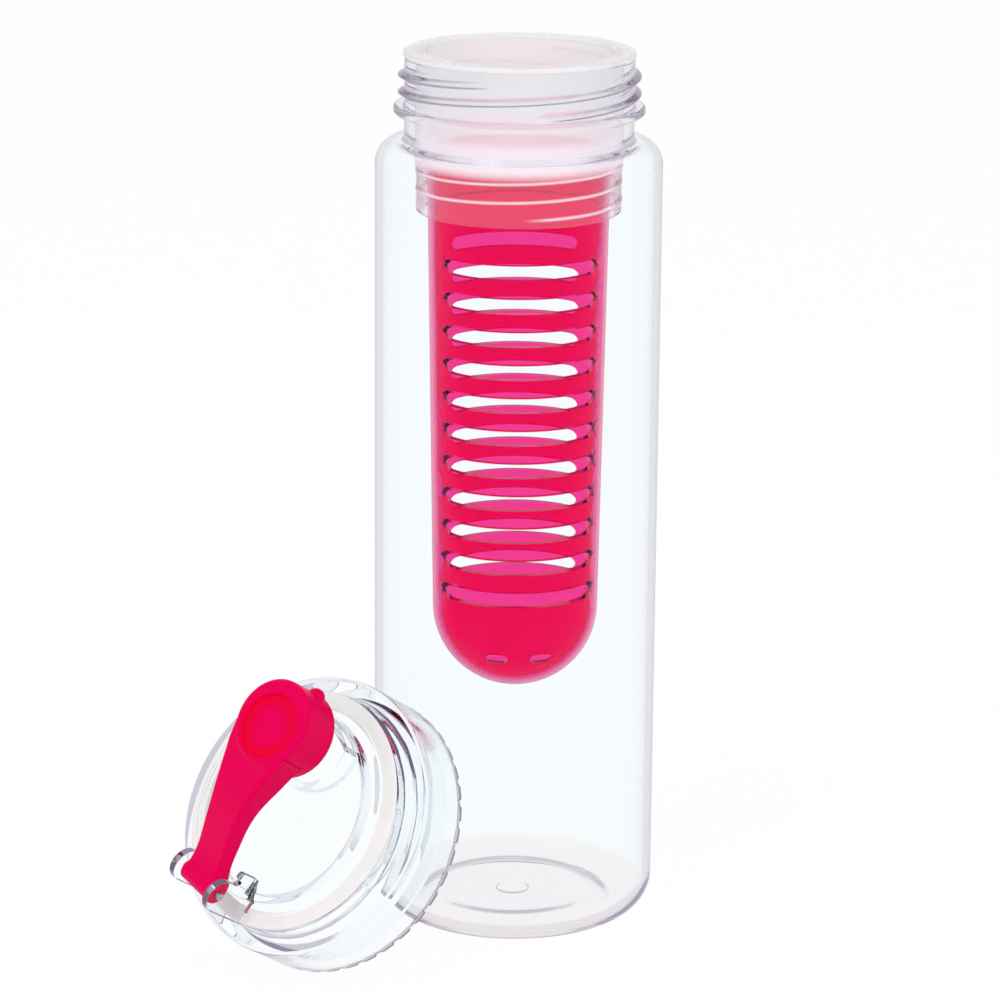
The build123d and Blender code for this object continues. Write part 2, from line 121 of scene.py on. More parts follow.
# Fine thread lines on the collar's lower end: one start, two and a half turns
COLLAR_LINE_START = -90
COLLAR_LINE_FOOT = 188.6
COLLAR_LINE_LEAD = 4.6
COLLAR_LINE_TURN = 900
COLLAR_LINE_WIDTH = 1.1
COLLAR_LINE_TAPER = 20
COLLAR_RIDGE = 0.22

# Where the basket's dome ends and its slotted wall starts
DOME_TOP = 82.5

# Lid's own frame: the middle of its rim, and its axis along Z with the hinge towards -Y
LID_PLACE = (-43.6268, -35.8355, 31.088)
LID_X = (0.610154, -0.733422, -0.299673)
LID_Y = (0.58238, 0.15874, 0.79727)
LID_Z = (-0.537164, -0.66098, 0.523986)
LID_TURN = Matrix((LID_X, LID_Y, LID_Z)).transposed().to_euler()

# Lid, as in the CAD model: an outer and an inner skirt, a shoulder, a low step and the disc
LID_R = 36.5
SKIRT_BORE = 35.0
SKIRT_GAP_TOP = 14.9
INNER_SKIRT_R = 33.9
INNER_SKIRT_FOOT = 4.0
FLARE_R = 32.5
FLARE_TOP = 8.2
LID_BORE = 31.2
LID_BORE_FOOT = 9.5
CEILING = 21.7
LID_SHOULDER = 23.4
STEP_R = 28.3
STEP_TOP = 24.3
DISC_EDGE_R = 25.9
DISC_R = 25.2
DISC_BORE = 23.2
DISC_FOOT = 25.0
DISC_TOP = 26.95

# outline() needs a bend at each corner, so a corner on a straight side is set off it by a hair
HAIR = 0.001
RIM_ROW = 0.8

LID = (
    (0, DISC_FOOT, 0, 3), (DISC_BORE, DISC_FOOT, 0.2, 1), (DISC_BORE, CEILING, 0.2, 1),
    (LID_BORE, CEILING, 0.3, 0.4), (LID_BORE, LID_BORE_FOOT, 0.3, 1), (FLARE_R, FLARE_TOP, 0.3, 1),
    (FLARE_R, INNER_SKIRT_FOOT, 0.2, 1), (INNER_SKIRT_R, INNER_SKIRT_FOOT, 0.2, 3),
    (INNER_SKIRT_R, SKIRT_GAP_TOP, 0.15, 1), (SKIRT_BORE, SKIRT_GAP_TOP, 0.15, 3),
    (SKIRT_BORE + HAIR, RIM_ROW, 0, 1), (SKIRT_BORE, 0, 0.15, 1), (LID_R, 0, 0.15, 1),
    (LID_R - HAIR, RIM_ROW, 0, 3), (LID_R, LID_SHOULDER, 8.0, 1), (STEP_R, LID_SHOULDER, 0.1, 1),
    (STEP_R, STEP_TOP, 0.3, 1), (DISC_EDGE_R, STEP_TOP, 0.4, 1), (DISC_R, DISC_TOP, 0.7, 2),
    (0, DISC_TOP, 0, 3),
)
LID_SEGMENTS = 360

# Notches in the rim: how many, how deep, and how many degrees each one takes
NOTCHES = 40
NOTCH_DEPTH = 0.65
NOTCH_SWEEP = 2.3

# Hollow under the spout's boss, which goes through the disc just inside the disc's wall
BOSS_Y = 17.5
BOSS_HOLLOW_R = 10.35
HOLLOW_REACH = 23.15
HOLLOW_FOOT, HOLLOW_TOP = 24.0, 28.0
BOSS_ARC_POINTS, WALL_ARC_POINTS = 73, 15

# Ears of the hinge: their outline in the lid's (Y, Z), and where they lie along its X
EAR = (
    (-30.8, 22.0, 0.2, 4), (-30.8, 38.5, 4.35, 4), (-22.0, 38.5, 4.35, 4), (-22.0, 30.9, 1.0, 4),
    (-20.6, 30.9, 0.3, 4), (-20.4, 32.0, 0.5, 4), (-18.4, 32.0, 0.9, 4), (-18.4, 25.6, 0.2, 4),
    (-23.0, 25.6, 0.2, 4), (-23.4, 22.0, 0.2, 4),
)
EAR_INNER, EAR_OUTER = 6.2, 8.3
EAR_EDGE = 0.25

GASKET = ((26.9, 21.6, 0.2, 1), (31.1, 21.6, 0.2, 1), (31.1, 19.7, 0.5, 1), (26.9, 19.7, 0.5, 1))
GASKET_SEGMENTS = 192

# Ring in the dish of the flip cap's head, in the lid's own frame
DISH_Y = 16.2
DISH_R = 8.6
DISH_STEP_R = 5.4
CAP_FACE_Z = 45.5

# Steps of the finishes and of the painted shade and light, each (start, end, low, high): a share
# that runs from low to high while a height or a distance runs from start to end mm
THREAD_EDGE_SHADE = (0.1, 0.5, 0.0, 0.42)
NECK_SHADE = (205.5, 207.5, 0.0, 0.14)
FOOT_SHADE = (1.0, 4.0, 0.3, 0.0)
BASE_WARMTH = (BASE_TOP + 0.2, BASE_TOP + 2, 1.0, 0.0)
RIM_LINE = (NOTCH_DEPTH, NOTCH_DEPTH + 0.1, 0.9, 0.0)
SLOTTED_WALL = (DOME_TOP, DOME_TOP + 1, 0.0, 1.0)
SOCKET_CLEAR = (SOCKET_TOP - 4, SOCKET_TOP - 1, 0.97, 0.3)
SLEEVE_CLEAR = (SOCKET_TOP + 1, SOCKET_TOP + 6, 0.0, 0.55)
FLANGE_CLEAR = (FLANGE_Z - 0.5, FLANGE_Z, 0.0, 0.35)
CLEAR_BETWEEN_LINES = (0, COLLAR_RIDGE, 1.0, 0.25)
SLEEVE_TINT = (SOCKET_TOP + 4, SOCKET_TOP + 16, 0.0, 1.0)
BOUNCED_PINK_HEIGHT = (SOCKET_TOP - 6, SOCKET_TOP + 2, 1.0, 0.0)
LIT_RING_INSIDE = (DISH_STEP_R - 0.4, DISH_STEP_R + 0.8, 0.0, 1.0)
LIT_RING_OUTSIDE = (DISH_R - 0.6, DISH_R + 0.6, 1.0, 0.0)
LIT_RING_STRENGTH = (CAP_FACE_Z, CAP_FACE_Z + 1, 0.0, 0.6)

# Where the painted shade or light along a round wall's outline starts, where it is full, and how
# strong it gets then
CLEAR_OUTLINE_SHADE = (0.84, 1.16, 1.0)
BASKET_OUTLINE_SHEEN = (0.62, 0.78, 0.7)
COLLAR_OUTLINE_PINK = (0.45, 0.8, 0.85)

# A face of the basket whose normal is this near to upright is the cut face of a slot
LEVEL = 0.9

# Widths in mm of the patterns on the surfaces. The grain of the frost and of the satin is
# really about a tenth as wide, and is drawn as coarse as it needs to be to show.
SLOW_RIPPLE = 17
FROST_GRAIN = 1.1
FLOW_STREAK = 14
SATIN_GRAIN = 0.7
SILICONE_CLOUD = 8
DRAWN_PATCH = 1.2

# The noise of a cloudy pattern, where it is at its darkest and where at its lightest
CLOUD_DARK, CLOUD_LIGHT = 0.3, 0.7

# Darkest shade of the pattern in a colour, as a share of the colour
CAP_DARKEST = 0.94
SILICONE_DARKEST = 0.96

# Greatest angle in degrees that an arc turns in one step
ARC_STEP = 8

# How near two points of a CAD node are that are one point
WELD_REACH = 0.001

# Edges that stay sharp, in degrees: of a CAD node, and of the lid where it is cut
SHARP_NODE = 32
SHARP_CUT = 60

# Lamps, with their places in metres and their power in watts
LAMPS = (("key lamp", (-0.7, -0.9, 1.3), 9), ("fill lamp", (1.0, -0.6, 0.8), 4))
LAMP_TARGET = (0, 0, 0.1)
LAMP_SIZE = 0.8

# Strength of the surroundings as light; what the camera sees of them is 1, which is white
SOFT_LIGHT = 0.75
FLOOR_REACH = 8.0
FLOOR_GLOW = 0.95

# Camera: its place in metres, its angles in degrees, and the photograph's measures in pixels
CAMERA_PLACE = (0, -1.0493, 0.3956)
CAMERA_TILT = 15.23
CAMERA_ROLL = 0.525
SENSOR = 36
PICTURE_WIDTH = 1000
FOCAL_LENGTH = 4202.7
PICTURE_SHIFT = -15.88


def linear(code):
    """sRGB hex to linear: c / 12.92 up to 0.04045, else ((c + 0.055) / 1.055) ** 2.4."""
    values = [int(code[i : i + 2], 16) / 255 for i in (1, 3, 5)]
    return tuple(v / 12.92 if v <= 0.04045 else ((v + 0.055) / 1.055) ** 2.4 for v in values)


# Surroundings, and what they turn to on the way back from a mirroring surface
WHITE = linear("#FFFFFF")
PAPER = linear("#F9F9F9")
MIRRORED = linear("#F1EFF3")

# Clear plastic: its weak gloss, its shadow, and light that is caught between its walls
CLEAR_GLOSS = linear("#959595")
CLEAR_SHADOW = linear("#FAFAFB")
CLEAR_CAUGHT = linear("#DAD6DF")

# Basket: its gloss, the painted shade on the cut faces of its slots, and the painted sheen strip
# along its outline
BASKET_GLOSS = linear("#FF5080")
BASKET_CUT_SHADE = linear("#A00A3C")
BASKET_SHEEN_STRIP = linear("#F9A8BC")

# Collar: painted pink light from the basket in its sides, and its shadow
COLLAR_BOUNCED_PINK = linear("#F5BECD")
COLLAR_SHADOW = linear("#F7F6F6")

CAP_GLOSS = linear("#FF90A0")
STEEL_DULL = linear("#B4B4B8")
STEEL_BRIGHT = linear("#D6D6DA")


def length(name, description, size):
    """A length that a user may change, whose default is given in mm."""
    return FloatProperty(name=name, description=description, default=size * MM, unit="LENGTH")


def tint(name, description, code):
    """A colour that a user may change, whose default is an sRGB hex value."""
    return FloatVectorProperty(
        name=name,
        description=description,
        default=linear(code),
        size=3,
        min=0,
        max=1,
        subtype="COLOR",
    )


class InfuserSizes(PropertyGroup):
    thread_height: length("Neck thread height", "How far the neck's thread stands out", 1.7)
    thread_width: length("Neck thread width", "Width of the neck's thread at its root", 2.7)


class InfuserColours(PropertyGroup):
    clear: tint("Clear plastic", "Tint of the clear plastic, seen square on", "#FBFEFF")
    thick: tint("Clear plastic's base", "Tint of the clear plastic in the thick base", "#F9F5F5")
    # Painted shade: the darker tint towards the clear plastic's outline stands in for mirrored
    # surroundings and light lost in the wall
    clear_edge_painted_shade: tint("Clear plastic's edge", "Tint of the clear plastic, seen edge on", "#8F8699")
    basket: tint("Basket", "Tint that one wall of the basket gives to what is behind", "#F93C92")
    collar: tint("Collar", "Frosted white of the collar", "#FFF6FB")
    sleeve: tint("Collar's sleeve", "Pale grey of the collar's thicker upper part", "#F1F3F4")
    cap: tint("Flip cap", "Red of the flip cap", "#E00050")
    # Painted light: the purer red ring stands in for light through the dyed plastic at the dish's
    # fillet
    ring: tint("Flip cap's ring", "Purer red of the ring in the cap's dish", "#E60018")
    silicone: tint("Silicone", "Pale beige of the seals", "#FBF8F4")


def add_node(tree, kind, sockets=None, **settings):
    """Adds one node with its settings, and fills its sockets.

    A socket takes a number, a vector or a linear colour, or is linked to the output that is
    given, or to the first output of the node that is given.
    """
    node = tree.nodes.new(kind)
    for name, value in settings.items():
        setattr(node, name, value)
    for key, value in (sockets or {}).items():
        socket = node.inputs[key]
        if isinstance(value, (Node, NodeSocket)):
            tree.links.new(value.outputs[0] if isinstance(value, Node) else value, socket)
        else:
            socket.default_value = (*value, 1.0) if socket.type == "RGBA" else value
    return node


def new_material(name):
    """An empty node material and its tree."""
    material = bpy.data.materials.new(name)
    material.use_nodes = True
    material.node_tree.nodes.clear()
    return material, material.node_tree


def finish_material(material, surface):
    """The material, with the surface joined to its output."""
    add_node(material.node_tree, "ShaderNodeOutputMaterial", {"Surface": surface})
    return material


def let_light_through(tree, surface, colour):
    """The surface as the eye sees it, while daylight and shadows pass it straight, tinted."""
    through = add_node(tree, "ShaderNodeBsdfTransparent", {"Color": colour})
    path = add_node(tree, "ShaderNodeLightPath")
    soft = add_node(
        tree,
        "ShaderNodeMath",
        {0: path.outputs["Is Shadow Ray"], 1: path.outputs["Is Diffuse Ray"]},
        operation="MAXIMUM",
    )
    return add_node(tree, "ShaderNodeMixShader", {0: soft, 1: surface, 2: through})


def grain(tree, size, detail):
    """Cloudy noise whose patches are about size mm across."""
    place = add_node(tree, "ShaderNodeTexCoord").outputs["Object"]
    sockets = {"Vector": place, "Scale": 1 / (size * MM), "Detail": detail}
    return add_node(tree, "ShaderNodeTexNoise", sockets)


def uneven(tree, size, detail, strength, depth):
    """Normal of a surface with cloudy bumps about size mm across and up to depth mm high."""
    sockets = {"Height": grain(tree, size, detail), "Strength": strength, "Distance": depth * MM}
    return add_node(tree, "ShaderNodeBump", sockets)


def mottled(tree, dull, bright, size, detail):
    """Colour that drifts between two shades in cloudy patches about size mm across."""
    cloud = grain(tree, size, detail)
    sockets = {"Value": cloud, "From Min": CLOUD_DARK, "From Max": CLOUD_LIGHT}
    share = add_node(tree, "ShaderNodeMapRange", sockets)
    mix = add_node(tree, "ShaderNodeMix", {0: share, 6: dull, 7: bright}, data_type="RGBA")
    return mix.outputs[2]


def place_in(tree, place=(0, 0, 0), turn=(0, 0, 0)):
    """X, Y and Z of each point in metres, in a frame given by its place in mm and its turn."""
    spot = add_node(tree, "ShaderNodeTexCoord").outputs["Object"]
    sockets = {"Vector": spot, "Location": Vector(place) * MM, "Rotation": turn}
    own = add_node(tree, "ShaderNodeMapping", sockets, vector_type="TEXTURE")
    return add_node(tree, "ShaderNodeSeparateXYZ", {0: own})


def greatest_share(tree, measure, *steps):
    """Greatest of the shares that the steps of a finish give along a measure in metres."""
    share = None
    for start, end, low, high in steps:
        sockets = {"From Min": start * MM, "From Max": end * MM, "To Min": low, "To Max": high}
        step = add_node(tree, "ShaderNodeMapRange", {"Value": measure, **sockets})
        if share:
            step = add_node(tree, "ShaderNodeMath", {0: share, 1: step}, operation="MAXIMUM")
        share = step
    return share


def towards_outline(tree, look, more=0.0):
    """Share that grows towards the outline of a round wall, for a look (start, end, most).

    A wall that is seen square on is at 0 and one that is seen edge on at 1. more is added to
    that, and the share runs from 0 to most while the sum runs from start to end.
    """
    start, end, most = look
    facing = add_node(tree, "ShaderNodeLayerWeight", {"Blend": 0.5}).outputs["Facing"]
    edge_on = add_node(tree, "ShaderNodeMath", {0: facing, 1: more}, operation="ADD")
    sockets = {"Value": edge_on, "From Min": start, "From Max": end, "To Max": most}
    return add_node(tree, "ShaderNodeMapRange", sockets)


def clear_plastic(name, colours, look, ior, ripple):
    """Clear copolyester: all but invisible square on, with thin purple-grey edges. The edges are
    painted shade: a darker tint towards the outline, standing in for the dark lines that mirroring
    and refraction give a clear wall seen edge on.

    Its faces are glossy with a faint slow ripple from blowing or moulding. look(tree, colours)
    says where the painted edge shade is broader, and its tint square on. The IOR is lower than the
    real
    1.57, because the eye sees through four walls that the photograph shows almost undistorted.
    Light that is mirrored to and fro inside a wall comes out purple-grey, not black.
    """
    material, tree = new_material(name)
    broader_shade, face = look(tree, colours)
    # Painted shade: the tint turns to the dark edge colour where the wall is seen edge on
    edge = towards_outline(tree, CLEAR_OUTLINE_SHADE, broader_shade)
    sockets = {0: edge, 6: face, 7: colours.clear_edge_painted_shade}
    shade = add_node(tree, "ShaderNodeMix", sockets, data_type="RGBA")
    solid = add_node(
        tree,
        "ShaderNodeBsdfPrincipled",
        {
            "Base Color": shade.outputs[2],
            "Roughness": 0.0,
            "IOR": ior,
            "Transmission Weight": 1.0,
            "Specular Tint": CLEAR_GLOSS,
            "Normal": uneven(tree, SLOW_RIPPLE, detail=1, strength=ripple, depth=0.2),
        },
    )
    # What the eye sees by way of two or more mirroring walls
    caught = add_node(tree, "ShaderNodeBsdfTransparent", {"Color": CLEAR_CAUGHT})
    mirrored = add_node(tree, "ShaderNodeLightPath").outputs["Glossy Depth"]
    twice = add_node(tree, "ShaderNodeMath", {0: mirrored, 1: 1.5}, operation="GREATER_THAN")
    freed = add_node(tree, "ShaderNodeMixShader", {0: twice, 1: solid, 2: caught})
    return finish_material(material, let_light_through(tree, freed, CLEAR_SHADOW))


def bottle_look(tree, colours):
    """Broader painted edge shade on the neck and its thread and at the foot, and a warmer, thicker
    base.
    """
    height = place_in(tree).outputs["Z"]
    relief = add_node(tree, "ShaderNodeAttribute", attribute_name="relief").outputs["Fac"]
    # Painted shade: the edge shade is made broader on the thread's ridges, round the neck and at
    # the foot
    lines = greatest_share(tree, relief, THREAD_EDGE_SHADE)
    ends = greatest_share(tree, height, NECK_SHADE, FOOT_SHADE)
    broader_shade = add_node(tree, "ShaderNodeMath", {0: lines, 1: ends}, operation="ADD")
    base = greatest_share(tree, height, BASE_WARMTH)
    sockets = {0: base, 6: colours.clear, 7: colours.thick}
    return broader_shade, add_node(tree, "ShaderNodeMix", sockets, data_type="RGBA").outputs[2]


def lid_look(tree, colours):
    """Dark line along the rim between the notches, where light is caught in the wall."""
    height = place_in(tree, LID_PLACE, LID_TURN).outputs["Z"]
    return greatest_share(tree, height, RIM_LINE), colours.clear


def tinted_plastic(colours):
    """Tinted clear SAN, injection moulded: a thin wall is pink, two walls are deep magenta.

    The cut faces of the slots, which lie level, are painted dark red as shade, standing in for
    light lost along the long way through the wall. The outline of the round wall has a painted
    sheen: a pale pink strip for the white surroundings mirrored there. The IOR is low for the
    clear plastic's reason.
    """
    material, tree = new_material("tinted SAN, moulded")
    walls = greatest_share(tree, place_in(tree).outputs["Z"], SLOTTED_WALL)
    normal = add_node(tree, "ShaderNodeTexCoord").outputs["Normal"]
    slope = add_node(tree, "ShaderNodeSeparateXYZ", {0: normal}).outputs["Z"]
    level = add_node(tree, "ShaderNodeMath", {0: slope}, operation="ABSOLUTE")
    flat = add_node(tree, "ShaderNodeMath", {0: level, 1: LEVEL}, operation="GREATER_THAN")
    # Painted shade: the level cut faces of the slots in the slotted wall are coloured dark red
    cut = add_node(tree, "ShaderNodeMath", {0: walls, 1: flat}, operation="MULTIPLY")
    sockets = {0: cut, 6: colours.basket, 7: BASKET_CUT_SHADE}
    shade = add_node(tree, "ShaderNodeMix", sockets, data_type="RGBA")
    solid = add_node(
        tree,
        "ShaderNodeBsdfPrincipled",
        {
            "Base Color": shade.outputs[2],
            "Roughness": 0.03,
            "IOR": 1.15,
            "Transmission Weight": 1.0,
            "Specular Tint": BASKET_GLOSS,
        },
    )
    behind = add_node(tree, "ShaderNodeNewGeometry").outputs["Backfacing"]
    bare = add_node(tree, "ShaderNodeMath", {0: behind, 1: cut}, operation="MAXIMUM")
    whole = add_node(tree, "ShaderNodeMath", {0: 1.0, 1: bare}, operation="SUBTRACT")
    # Painted sheen: a pale pink diffuse strip along the outline, left off back faces and cut faces
    steep = towards_outline(tree, BASKET_OUTLINE_SHEEN)
    strip = add_node(tree, "ShaderNodeMath", {0: steep, 1: whole}, operation="MULTIPLY")
    pale = add_node(tree, "ShaderNodeBsdfDiffuse", {"Color": BASKET_SHEEN_STRIP})
    edged = add_node(tree, "ShaderNodeMixShader", {0: strip, 1: solid, 2: pale})
    return finish_material(material, let_light_through(tree, edged, colours.basket))


def frosted_plastic(colours):
    """Natural polypropylene, moulded: clear enough to look through, milky where it is thick.

    It is clearest round the basket's rim, half clear in the sleeve above it, and milky in
    between; that milky band is partly the frosting and partly a painted highlight, standing in for
    the bright reflection on the bottle's shoulder in front of it. Its sides low down are painted
    pink, standing in for the basket's light bounced into them. The IOR is under the real
    1.49, so that the rim shows in its place.
    """
    material, tree = new_material("natural polypropylene, moulded")
    height = place_in(tree).outputs["Z"]
    relief = add_node(tree, "ShaderNodeAttribute", attribute_name="relief").outputs["Fac"]
    # The milky band between the socket and the sleeve is partly frosting and partly a painted
    # highlight for the bottle's shoulder
    clear = greatest_share(tree, height, SOCKET_CLEAR, SLEEVE_CLEAR, FLANGE_CLEAR)
    smooth = greatest_share(tree, relief, CLEAR_BETWEEN_LINES)
    clearness = add_node(tree, "ShaderNodeMath", {0: clear, 1: smooth}, operation="MULTIPLY")
    sleeve = greatest_share(tree, height, SLEEVE_TINT)
    # Painted light: pink from the basket, bounced into the collar's low sides towards its outline
    low = greatest_share(tree, height, BOUNCED_PINK_HEIGHT)
    side = towards_outline(tree, COLLAR_OUTLINE_PINK)
    glow = add_node(tree, "ShaderNodeMath", {0: side, 1: low}, operation="MULTIPLY")
    shade = colours.collar
    for share, colour in ((sleeve, colours.sleeve), (glow, COLLAR_BOUNCED_PINK)):
        sockets = {0: share, 6: shade, 7: colour}
        shade = add_node(tree, "ShaderNodeMix", sockets, data_type="RGBA").outputs[2]
    milky = add_node(
        tree,
        "ShaderNodeBsdfPrincipled",
        {
            "Base Color": shade,
            "Roughness": 0.1,
            "IOR": 1.3,
            "Transmission Weight": clearness,
            "Normal": uneven(tree, FROST_GRAIN, detail=2, strength=0.15, depth=0.1),
        },
    )
    return finish_material(material, let_light_through(tree, milky, COLLAR_SHADOW))


def red_plastic(colours):
    """Red polypropylene, moulded: satin gloss with a faint flow in its colour.

    The ring in the dish of its head is painted a purer red: painted light, standing in for light
    through the dyed plastic at the dish's fillet.
    """
    material, tree = new_material("red polypropylene, satin")
    darker = tuple(c * CAP_DARKEST for c in colours.cap)
    flow = mottled(tree, darker, colours.cap, FLOW_STREAK, detail=3)
    own = place_in(tree, Vector(LID_PLACE) + Vector(LID_Y) * DISH_Y, LID_TURN)
    square = 0.0
    for side in (own.outputs["X"], own.outputs["Y"]):
        sockets = {0: side, 1: side, 2: square}
        square = add_node(tree, "ShaderNodeMath", sockets, operation="MULTIPLY_ADD")
    radius = add_node(tree, "ShaderNodeMath", {0: square}, operation="SQRT")
    # Painted light: a purer red ring in the dish, for light through the dyed plastic at its fillet
    ring = greatest_share(tree, radius, LIT_RING_INSIDE)
    outside = greatest_share(tree, radius, LIT_RING_OUTSIDE)
    strength = greatest_share(tree, own.outputs["Z"], LIT_RING_STRENGTH)
    for share in (outside, strength):
        ring = add_node(tree, "ShaderNodeMath", {0: ring, 1: share}, operation="MULTIPLY")
    sockets = {0: ring, 6: flow, 7: colours.ring}
    shade = add_node(tree, "ShaderNodeMix", sockets, data_type="RGBA")
    solid = add_node(
        tree,
        "ShaderNodeBsdfPrincipled",
        {
            "Base Color": shade.outputs[2],
            "Roughness": 0.3,
            "IOR": 1.49,
            "Specular IOR Level": 0.05,
            "Specular Tint": CAP_GLOSS,
            "Normal": uneven(tree, SATIN_GRAIN, detail=1, strength=0.08, depth=0.05),
        },
    )
    return finish_material(material, solid)


def silicone_rubber(colours):
    """Moulded food-grade silicone: pale and matt, with a faint cloudiness."""
    material, tree = new_material("silicone rubber, moulded")
    darker = tuple(c * SILICONE_DARKEST for c in colours.silicone)
    solid = add_node(
        tree,
        "ShaderNodeBsdfPrincipled",
        {
            "Base Color": mottled(tree, darker, colours.silicone, SILICONE_CLOUD, detail=2),
            "Roughness": 0.6,
            "IOR": 1.41,
            "Specular IOR Level": 0.3,
        },
    )
    return finish_material(material, solid)


def steel_wire():
    """Drawn stainless steel: bright but not mirror-like, with fine dull patches."""
    material, tree = new_material("stainless steel, drawn")
    solid = add_node(
        tree,
        "ShaderNodeBsdfPrincipled",
        {
            "Base Color": mottled(tree, STEEL_DULL, STEEL_BRIGHT, DRAWN_PATCH, detail=2),
            "Metallic": 1.0,
            "Roughness": 0.28,
        },
    )
    return finish_material(material, solid)


def mesh_piece(name, points, faces, material, relief=None):
    """One smooth mesh object from points in mm, with its faces turned outwards.

    relief says for each point how far it stands out, for materials that follow a ridge.
    """
    mesh = bpy.data.meshes.new(name)
    mesh.from_pydata(points * MM, [], faces)
    work = bmesh.new()
    work.from_mesh(mesh)
    bmesh.ops.recalc_face_normals(work, faces=work.faces)
    work.to_mesh(mesh)
    work.free()
    mesh.shade_smooth()
    mesh.materials.append(material)
    if relief is not None:
        mesh.attributes.new("relief", "FLOAT", "POINT").data.foreach_set("value", relief * MM)
    piece = bpy.data.objects.new(name, mesh)
    bpy.context.scene.collection.objects.link(piece)
    return piece


def in_lid(points):
    """Points of the lid's own frame where the leaning lid has them."""
    return np.array(LID_PLACE) + points @ np.array((LID_X, LID_Y, LID_Z))


def outline(corners):
    """Points along an outline.

    Each corner becomes an arc of its rounding, tangent to both of its sides: with t from 0 to 1,
    the arc's centre plus (sin((1 - t) sweep) near + sin(t sweep) far) / sin(sweep), where near
    and far lead from the centre to its ends. The side after it is cut into equal spans no longer
    than the given one.
    """
    table = np.array(corners, float)
    place, rounding, longest = table[:, :2], table[:, 2], table[:, 3]
    back, ahead = np.roll(place, 1, 0) - place, np.roll(place, -1, 0) - place
    back /= np.linalg.norm(back, axis=1)[:, None]
    ahead /= np.linalg.norm(ahead, axis=1)[:, None]
    half = np.arccos(np.clip((back * ahead).sum(1), -1, 1)) / 2
    middle = (back + ahead) / np.linalg.norm(back + ahead, axis=1)[:, None]
    centre = place + middle * (rounding / np.sin(half))[:, None]
    cut = (rounding / np.tan(half))[:, None]
    start, end = place + back * cut, place + ahead * cut
    runs = []
    for i in range(len(table)):
        if rounding[i] == 0:
            runs.append(place[i : i + 1])
        else:
            sweep = math.pi - 2 * half[i]
            steps = max(4, int(math.degrees(sweep) / ARC_STEP) + 1)
            t = np.linspace(0, 1, steps)[:, None]
            near, far = start[i] - centre[i], end[i] - centre[i]
            arc = np.sin((1 - t) * sweep) * near + np.sin(t * sweep) * far
            runs.append(centre[i] + arc / math.sin(sweep))
        j = (i + 1) % len(table)
        spans = max(1, math.ceil(np.linalg.norm(start[j] - end[i]) / longest[i]))
        s = np.arange(1, spans)[:, None] / spans
        runs.append(end[i] + s * (start[j] - end[i]))
    return np.concatenate(runs)


def turned(name, corners, segments, material, swell=None, lift=None, place=None):
    """Closed surface of revolution.

    Point (i, j) is ((r + swell) cos a, (r + swell) sin a, z + lift) for outline point i and the
    angle a = 2 pi j / segments. An outline that starts and ends on the axis gets a pole at each
    end. place moves the finished points.
    """
    closed = all(radius > 0 for radius, *rest in corners)
    path = outline(corners)
    if not closed:
        # The side from the last corner back to the first runs along the axis and is left out
        first, last = np.flatnonzero(path[:, 0] == 0)[:2]
        path = path[first : last + 1]
    ring = path if closed else path[1:-1]
    a = np.arange(segments) * (2 * math.pi / segments)
    r, angle = np.meshgrid(ring[:, 0], a, indexing="ij")
    z = np.repeat(ring[:, 1:], segments, 1)
    relief = swell(r, z, angle) if swell else np.zeros(r.shape)
    z = z + lift(r, z, angle) if lift else z
    r = r + relief
    points = np.stack([r * np.cos(angle), r * np.sin(angle), z], -1).reshape(-1, 3)
    rows = len(ring) if closed else len(ring) - 1
    i, j = np.meshgrid(np.arange(rows), np.arange(segments), indexing="ij")
    here, ahead, beside = i * segments, (i + 1) % len(ring) * segments, (j + 1) % segments
    corner = [here + j, ahead + j, ahead + beside, here + beside]
    faces = np.stack(corner, -1).reshape(-1, 4).tolist()
    if not closed:
        near_pole, far_pole = np.full(segments, len(points)), np.full(segments, len(points) + 1)
        poles = [[0, 0, path[0, 1]], [0, 0, path[-1, 1]]]
        points = np.concatenate([points, poles])
        relief = np.append(relief, [0, 0])
        k = np.arange(segments)
        around = (k + 1) % segments
        far = (len(ring) - 1) * segments
        faces += np.stack([near_pole, k, around], -1).tolist()
        faces += np.stack([far_pole, far + around, far + k], -1).tolist()
    if place:
        points = place(points)
    return mesh_piece(name, points, faces, material, relief.ravel())


def ridge(z, angle, start, foot, lead, turn, width, height, taper):
    """Height of a helical ridge at (z, angle).

    The ridge starts at the angle start and height foot, climbs lead each turn, and ends after
    turn degrees. Its section is (0.5 + 0.5 cos(pi off)) ** 0.75, where off runs from -1 to 1
    across the given width, which is a little fuller than a raised cosine. Both its ends fade
    over taper degrees, by 3 f ** 2 - 2 f ** 3.
    """
    total = 0
    for lap in (-1, 0, 1, 2):
        along = np.degrees(angle) - start + 360 * lap
        off = np.clip((z - foot - lead * along / 360) / (width / 2), -1, 1)
        fade = np.clip(np.minimum(along, turn - along) / taper, 0, 1)
        fade = fade * fade * (3 - 2 * fade)
        total = total + height * fade * (0.5 + 0.5 * np.cos(math.pi * off)) ** 0.75
    return total


def thread(z, angle, starts, foot, width, height):
    """Height of a thread at (z, angle): one ridge of a full turn from each starting angle."""
    return sum(
        ridge(z, angle, start, foot, THREAD_LEAD, 360, width, height, THREAD_TAPER)
        for start in starts
    )


def carried(name, path, axis, near, far, material):
    """Closed outline of the lid's own frame, carried along its X (0) or Z (2) from near to far."""
    count = len(path)
    points = np.concatenate([np.insert(path, axis, level, axis=1) for level in (near, far)])
    k = np.arange(count)
    around = (k + 1) % count
    faces = np.stack([k, around, count + around, count + k], -1).tolist()
    faces += [k.tolist(), (count + k).tolist()]
    return mesh_piece(name, in_lid(points), faces, material)


